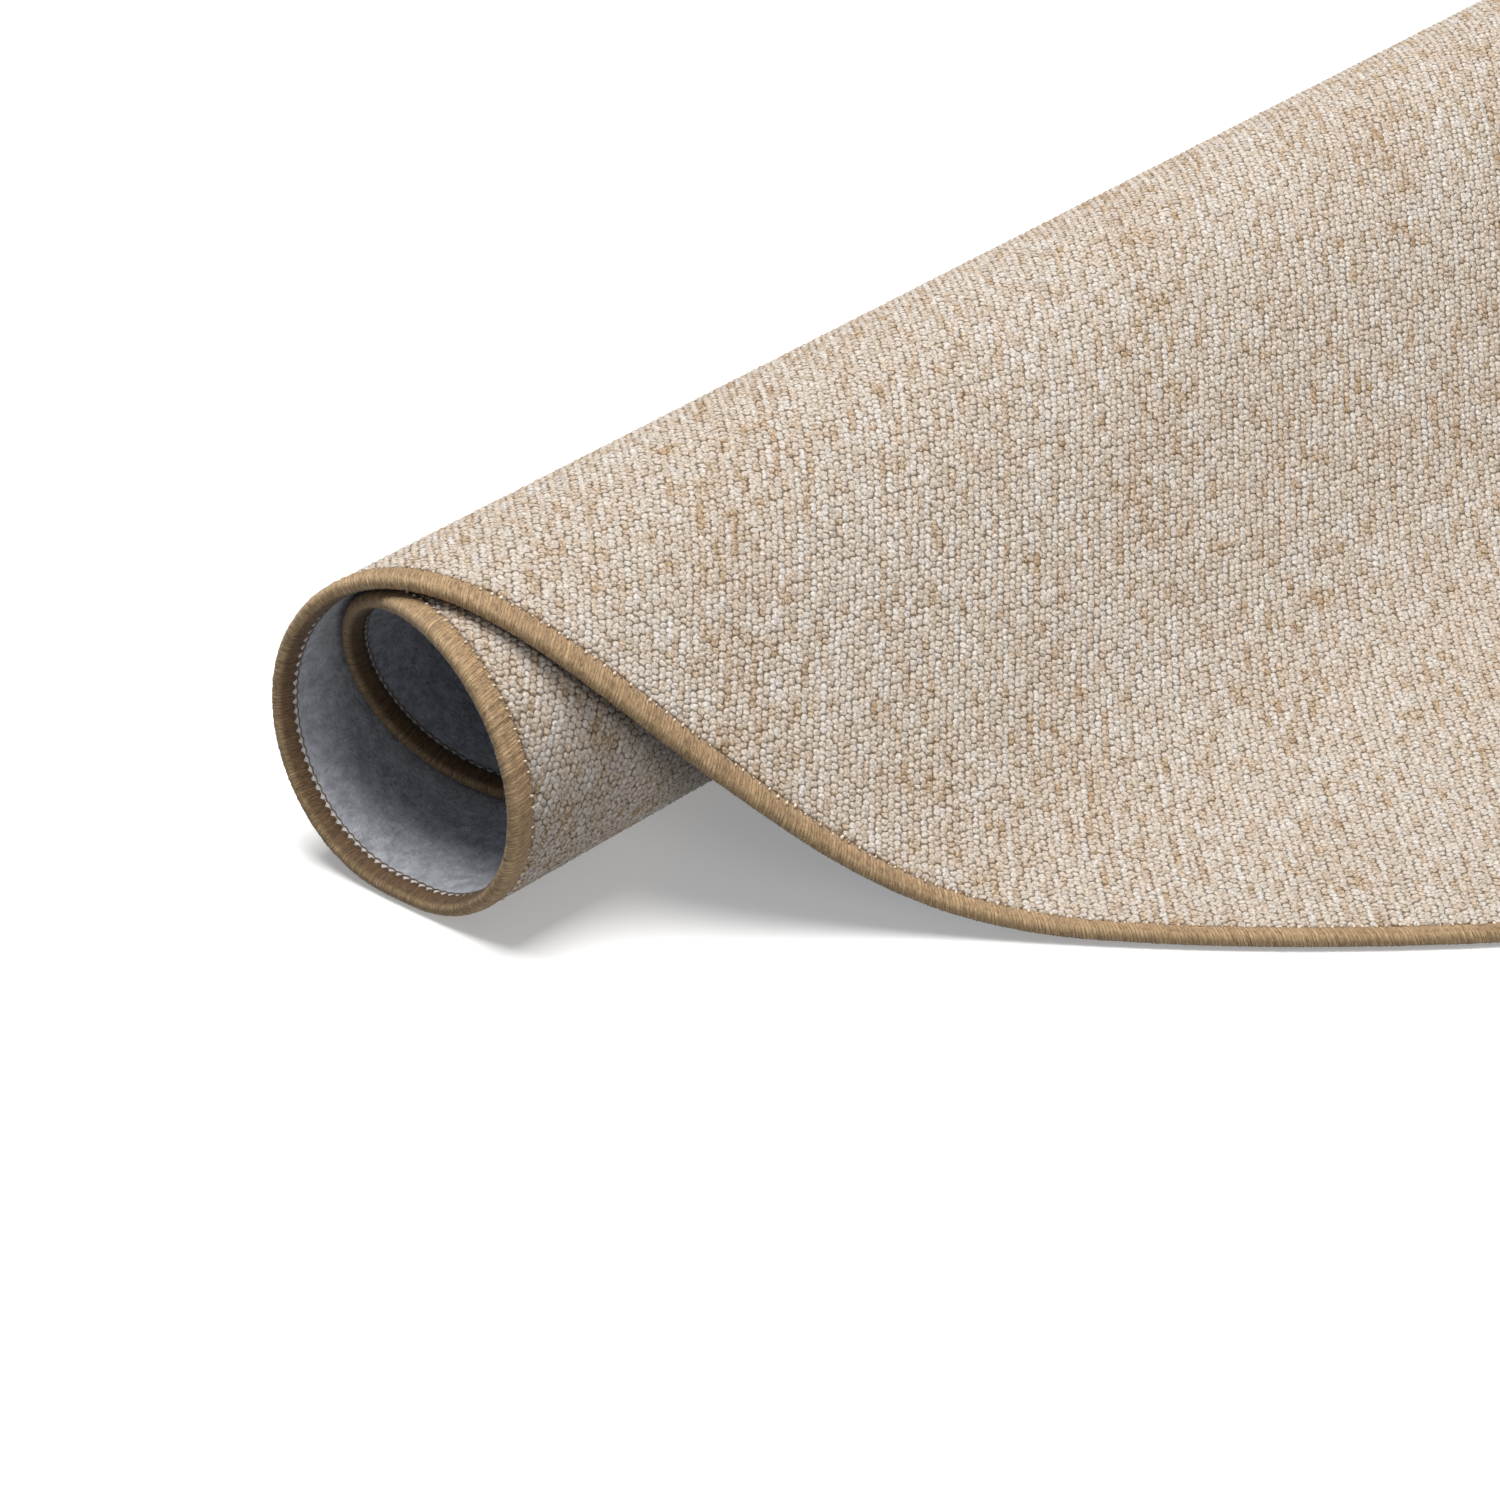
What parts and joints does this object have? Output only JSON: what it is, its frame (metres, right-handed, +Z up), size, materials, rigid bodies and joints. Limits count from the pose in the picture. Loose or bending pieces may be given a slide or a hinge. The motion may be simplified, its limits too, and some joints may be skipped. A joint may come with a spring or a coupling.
{
  "type": "rolled up carpet",
  "caption": "Round low loop-pile carpet with a whipped edge and felt back, wound into a loose roll from one side while the other side lies flat.",
  "frame": {"origin": "middle of the footprint's bounding box, on the floor", "axes": "+Y runs along the roll, +X points from the roll to the rim of the flat side, and +Z is up"},
  "size_m": [0.5194, 1.33, 0.1025],
  "materials": {
    "loop_pile": "low loop pile of heathered beige, tan and off-white yarns",
    "felt": "matt pale grey needled felt",
    "edge_yarn": "tan spun yarn wrapped side by side, soft sheen"
  },
  "bodies": {
    "root": {"loop_pile_carpet": "loop_pile", "felt_backing": "felt", "whipped_edge": "edge_yarn"}
  },
  "joints": []
}
